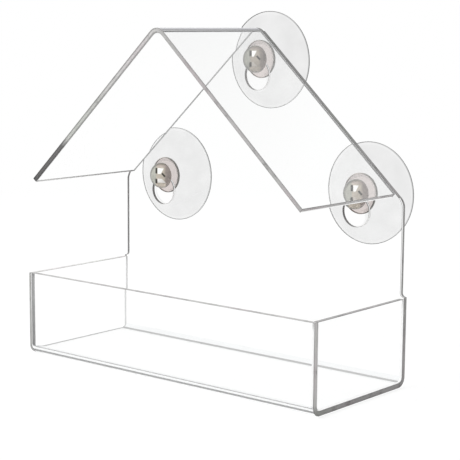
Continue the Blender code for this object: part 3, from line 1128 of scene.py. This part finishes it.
class FEEDER_OT_side_panels(Operator):
    """Add the two flat ends of the tray"""

    bl_idname = "feeder.side_panels"
    bl_label = "Side Panels"

    def execute(self, context):
        settings = context.scene.feeder_sheets
        low, high = panel_low, panel_high
        right = plane("right_tray_end", low, (high[0], high[1], low[2]))
        bpy.ops.mesh.select_all(action="SELECT")
        extrude((0, 0, high[2] - low[2]))
        bpy.ops.mesh.select_all(action="SELECT")
        bpy.ops.mesh.normals_make_consistent(inside=False)
        pick("EDGE", lambda edge: lies(edge, z=low[2]) and (lies(edge, y=low[1]) or lies(edge, y=high[1])))
        corner = settings.tray_bend - sheet - glue_gap
        bpy.ops.mesh.bevel(offset=corner, segments=settings.corner_steps, affect="EDGES")
        hold(right)
        bpy.ops.object.duplicate(linked=False)
        left = bpy.context.object
        left.name = left.data.name = "left_tray_end"
        left.location.x = -(low[0] + high[0])
        hold(left)
        bpy.ops.object.transform_apply(location=True, rotation=True, scale=True)

        cement_end = half_width - settings.side_joint_run
        hold(right)
        bpy.ops.object.mode_set(mode="EDIT")
        bpy.ops.mesh.select_all(action="SELECT")
        bpy.ops.mesh.bisect(plane_co=(cement_end, 0, 0), plane_no=(1, 0, 0))
        bpy.ops.object.mode_set(mode="OBJECT")

        def rule(normal, centre):
            if normal.z > straight:
                return CUT
            return CLEAR if abs(normal.x) > straight else HAZE

        def depth(place):
            return half_width - abs(place.x)

        def right_tone(normal, centre, place):
            """The cement of the front joint is grey at the outside and clear further in; how grey it and the
            rim look is painted shade.
            """
            if normal.z > 0.1:
                return settings.right_rim
            grey = normal.y < -0.1 and centre.x > cement_end
            return settings.side_joint if grey else settings.right_joint

        def left_tone(normal, centre, place):
            """Painted shade: the front joint is darkest at its foot."""
            if normal.z > 0.1:
                return settings.left_rim
            if normal.y > 0.5:
                return settings.left_joint_rear
            if normal.y > -0.5:
                return settings.left_joint_floor
            ends = settings.left_joint_from, settings.left_joint_to
            return between(place.z, *ends, settings.left_joint_foot, settings.left_joint_top)

        dress_sheet(right, settings, rule, depth, right_tone, "right_side_panel")
        dress_sheet(left, settings, rule, depth, left_tone, "left_side_panel")
        return {"FINISHED"}


# Suction cups


def cup_levels(settings):
    """Places in Y of the head's back, and of the collar's front and back."""
    head_back = rear_y - sheet - settings.panel_gap
    collar_front = rear_y + settings.panel_gap
    return head_back, collar_front, collar_front + settings.collar_height


def cup_profile(settings, low, high):
    """Half outline of a cup, from the head's tip to the middle of its hollow, as (radius, y)."""
    head_back, collar_front, collar_back = cup_levels(settings)
    radius = (high[0] - low[0]) / 2
    tip, lip = low[1], high[1]
    rim = lip - settings.edge_height
    soft = settings.panel_gap
    head = settings.head_radius
    dome = head_back - settings.head_rim
    shares = [step / settings.profile_steps for step in range(settings.profile_steps + 1)]

    points = []
    for along in shares:
        angle = math.pi / 2 * along
        points.append((head * math.sin(angle), dome + (tip - dome) * math.cos(angle)))
    points += [
        (head, head_back - soft),
        (head - soft, head_back),
        (settings.neck_radius, head_back),
        (settings.neck_radius, collar_front),
        (settings.collar_radius - soft, collar_front),
        (settings.collar_radius, collar_front + soft),
        (settings.collar_radius, collar_back - soft),
        (settings.collar_radius - soft, collar_back),
    ]
    for along in shares:
        across = settings.waist_radius + (radius - settings.waist_radius) * along
        points.append((across, collar_back + (rim - collar_back) * along ** settings.flare))
    points += [(radius, lip - soft), (radius - soft, lip)]
    hollow = radius - settings.lip_width
    top = collar_back + settings.web
    for along in reversed(shares):
        points.append((hollow * along, top + (lip - top) * along ** 2))
    return points


class FEEDER_OT_suction_cups(Operator):
    """Add the three suction cups"""

    bl_idname = "feeder.suction_cups"
    bl_label = "Suction Cups"

    def execute(self, context):
        settings = context.scene.feeder_cups
        axis = cup_axes[0]
        low, high = cup_boxes[0]
        piece = self.spun_cup("top_window_cup", settings, axis, cup_profile(settings, low, high))
        for material in cup_materials(settings):
            piece.data.materials.append(material)
        head_back, collar_front, collar_back = cup_levels(settings)
        radius = (high[0] - low[0]) / 2
        # Beyond this radius lie the collar's wall and the chamfers beside it
        collar_edge = settings.collar_radius - settings.panel_gap * 0.8

        def rule(normal, centre):
            if centre.y < collar_front - near:
                return HEAD
            away = math.hypot(centre.x - axis.x, centre.z - axis.z)
            if centre.y < collar_back - near:
                return COLLAR_WALL if away > collar_edge else COLLAR
            if away > radius - settings.panel_gap and centre.y > high[1] - settings.edge_height:
                return OUTLINE
            return LIP if away > radius - settings.lip_width and normal.y > straight else SKIRT

        mark_faces(piece, rule)
        root = Vector((axis.x, head_back, axis.z))
        layer = piece.data.attributes.new("cup_place", "FLOAT_VECTOR", "POINT")
        for corner, value in zip(piece.data.vertices, layer.data):
            value.vector = (corner.co - root) / settings.head_radius

        cups = [piece]
        for name, place in zip(("left_window_cup", "right_window_cup"), cup_axes[1:]):
            hold(piece)
            bpy.ops.object.duplicate(linked=False)
            copy = bpy.context.object
            copy.name = copy.data.name = name
            copy.location = place - axis
            cups.append(copy)
        for cup, node, body in zip(cups, cup_nodes, cup_bodies):
            finish_piece(cup, body, "clear_soft_plastic", node)
        return {"FINISHED"}

    def spun_cup(self, name, settings, axis, points):
        """A half outline spun about the cup's axis."""
        begin()
        bpy.ops.mesh.primitive_circle_add(vertices=3, radius=near)
        piece = bpy.context.object
        piece.name = piece.data.name = name
        bpy.ops.object.mode_set(mode="EDIT")
        bpy.ops.mesh.select_mode(type="VERT")
        bpy.ops.mesh.select_all(action="SELECT")
        bpy.ops.mesh.merge(type="CENTER")
        bpy.ops.transform.translate(value=axis + Vector((points[0][0], points[0][1], 0)))
        for (old_across, old_deep), (across, deep) in zip(points, points[1:]):
            extrude((across - old_across, deep - old_deep, 0))
        bpy.ops.mesh.select_all(action="SELECT")
        bpy.ops.mesh.spin(steps=settings.steps, angle=2 * math.pi, center=axis, axis=(0, 1, 0))
        bpy.ops.mesh.select_all(action="SELECT")
        bpy.ops.mesh.remove_doubles(threshold=near / 4)
        bpy.ops.mesh.normals_make_consistent(inside=False)
        hold(piece)
        bpy.ops.object.shade_smooth_by_angle(angle=sharp_angle)
        return piece


# Stage


def seen_directly(material):
    """1 for rays that show the backdrop: the camera's, and those through or off the clear plastic."""
    rays = add(material, "ShaderNodeLightPath").outputs
    seen = maths(material, "MAXIMUM", rays["Is Camera Ray"], rays["Is Glossy Ray"])
    return rays, maths(material, "MAXIMUM", seen, rays["Is Transmission Ray"])


def studio_world(settings):
    """A white studio, darker overhead with a softbox in it, as the clear plastic shows it."""
    world = bpy.data.worlds.new("white_studio")
    world.use_nodes = True
    world.node_tree.nodes.clear()
    rays, seen = seen_directly(world)
    direction = add(world, "ShaderNodeTexCoord").outputs["Generated"]
    up = split(world, direction)["Z"]
    ceiling = spread(world, up, settings.wall_top, settings.ceiling_start, 1.0, settings.ceiling_grey)
    towards = add(world, "ShaderNodeVectorMath", {"operation": "DOT_PRODUCT"})
    link(world, direction, towards, 0)
    link(world, Vector(settings.softbox_place).normalized(), towards, 1)
    edge = settings.softbox_edge
    box = spread(world, towards.outputs["Value"], edge, edge + settings.softbox_blur, 0, 1)
    walls = maths(world, "MAXIMUM", ceiling, box)
    plain = maths(world, "MAXIMUM", walls, rays["Is Camera Ray"])
    light = {"Color": (1, 1, 1, 1), "Strength": settings.sky_strength}
    lamp_light = add(world, "ShaderNodeBackground", light).outputs[0]
    white = add(world, "ShaderNodeBackground", {"Color": (1, 1, 1, 1)}, Strength=plain).outputs[0]
    add(world, "ShaderNodeOutputWorld", Surface=blend(world, seen, lamp_light, white))
    return world


def floor_material(settings):
    """A pale floor that keeps the feeder's shadow, reads as white and runs into the white backdrop."""
    material = new_material("pale_floor")
    seen = seen_directly(material)[1]
    away = add(material, "ShaderNodeVectorMath", {"operation": "LENGTH"})
    link(material, own_place(material), away, 0)
    fade = away.outputs["Value"], settings.floor_fade_from, settings.floor_fade_to
    glowing = maths(material, "MULTIPLY", seen, spread(material, *fade, settings.floor_glow, 1.0))
    strength = spread(material, *fade, settings.floor_glow_strength, 1.0)
    matt = add(material, "ShaderNodeBsdfDiffuse", {"Color": (*settings.floor_colour, 1)}).outputs[0]
    glow = add(material, "ShaderNodeEmission", {"Color": (1, 1, 1, 1)}, Strength=strength).outputs[0]
    output(material, blend(material, glowing, matt, glow))
    return material


def add_lamp(name, kind, place, aim, power):
    """A lamp at a place, aimed at a point, that the clear plastic doesn't show."""
    rotation = (Vector(aim) - Vector(place)).to_track_quat("-Z", "Y").to_euler()
    bpy.ops.object.light_add(type=kind, location=place, rotation=rotation)
    lamp = bpy.context.object
    lamp.name = name
    lamp.data.energy = power
    lamp.visible_glossy = False
    lamp.visible_transmission = False
    return lamp


class FEEDER_OT_stage(Operator):
    """Add the floor, the backdrop, the lamps and the camera"""

    bl_idname = "feeder.stage"
    bl_label = "Stage"

    def execute(self, context):
        settings = context.scene.feeder_stage
        target = Vector(settings.look_at)
        turned = Euler((math.pi / 2 - settings.elevation, 0, settings.azimuth)).to_matrix()
        turned = turned @ Matrix.Rotation(settings.roll, 3, "Z")
        begin()
        place = target + turned.col[2] * settings.distance
        bpy.ops.object.camera_add(location=place, rotation=turned.to_euler())
        camera = bpy.context.object
        camera.name = "studio_camera"
        camera.data.lens = settings.lens
        camera.data.sensor_width = 36
        camera.data.clip_start = 0.01
        context.scene.camera = camera

        begin()
        bpy.ops.mesh.primitive_grid_add(
            x_subdivisions=settings.floor_faces, y_subdivisions=settings.floor_faces,
            size=settings.floor_size, location=(0, 0, -settings.floor_drop),
        )
        floor = bpy.context.object
        floor.name = "pale_floor"
        bpy.ops.object.transform_apply(location=True, rotation=True, scale=True)
        floor.data.materials.append(floor_material(settings))
        floor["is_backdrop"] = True

        key = add_lamp("key_lamp", "SUN", settings.sun_place, target, settings.sun_strength)
        key.data.angle = settings.sun_spread
        power = settings.front_lamp_power
        front = add_lamp("window_lamp", "AREA", settings.front_lamp_place, target, power)
        front.data.size = settings.front_lamp_size
        context.scene.world = studio_world(settings)
        context.scene.view_settings.view_transform = "Standard"
        return {"FINISHED"}


class FEEDER_PT_sidebar(Panel):
    """Lists the feeder's pieces"""

    bl_idname = "FEEDER_PT_sidebar"
    bl_label = "Window Bird Feeder"
    bl_space_type = "VIEW_3D"
    bl_region_type = "UI"
    bl_category = "Feeder"

    def draw(self, context):
        for step in steps:
            self.layout.operator(step.bl_idname)
        for group in settings_groups:
            box = self.layout.box()
            settings = getattr(context.scene, group)
            for name in settings.bl_rna.properties.keys():
                if name not in ("rna_type", "name"):
                    box.prop(settings, name)


settings_groups = {
    "feeder_sheets": FeederSheetSettings,
    "feeder_cups": FeederCupSettings,
    "feeder_stage": FeederStageSettings,
}
steps = (
    FEEDER_OT_stage,
    FEEDER_OT_body_sheet,
    FEEDER_OT_roof_sheet,
    FEEDER_OT_side_panels,
    FEEDER_OT_suction_cups,
)


def register():
    """Add the classes and the scene's settings."""
    for name, group in settings_groups.items():
        bpy.utils.register_class(group)
        setattr(bpy.types.Scene, name, PointerProperty(type=group))
    for item in steps + (FEEDER_PT_sidebar,):
        bpy.utils.register_class(item)


def unregister():
    """Remove the settings and the classes."""
    for item in reversed(steps + (FEEDER_PT_sidebar,)):
        bpy.utils.unregister_class(item)
    for name, group in settings_groups.items():
        delattr(bpy.types.Scene, name)
        bpy.utils.unregister_class(group)


def main():
    """Build the scene, and put the solids' box beside the scene's box in a dictionary."""
    register()
    bpy.ops.feeder.stage()
    bpy.ops.feeder.body_sheet()
    bpy.ops.feeder.roof_sheet()
    bpy.ops.feeder.side_panels()
    bpy.ops.feeder.suction_cups()
    as_lists = lambda box: [list(corner) for corner in box]
    {"solids": as_lists(solid_box), "scene": as_lists(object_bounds())}


if __name__ == "__main__":
    main()
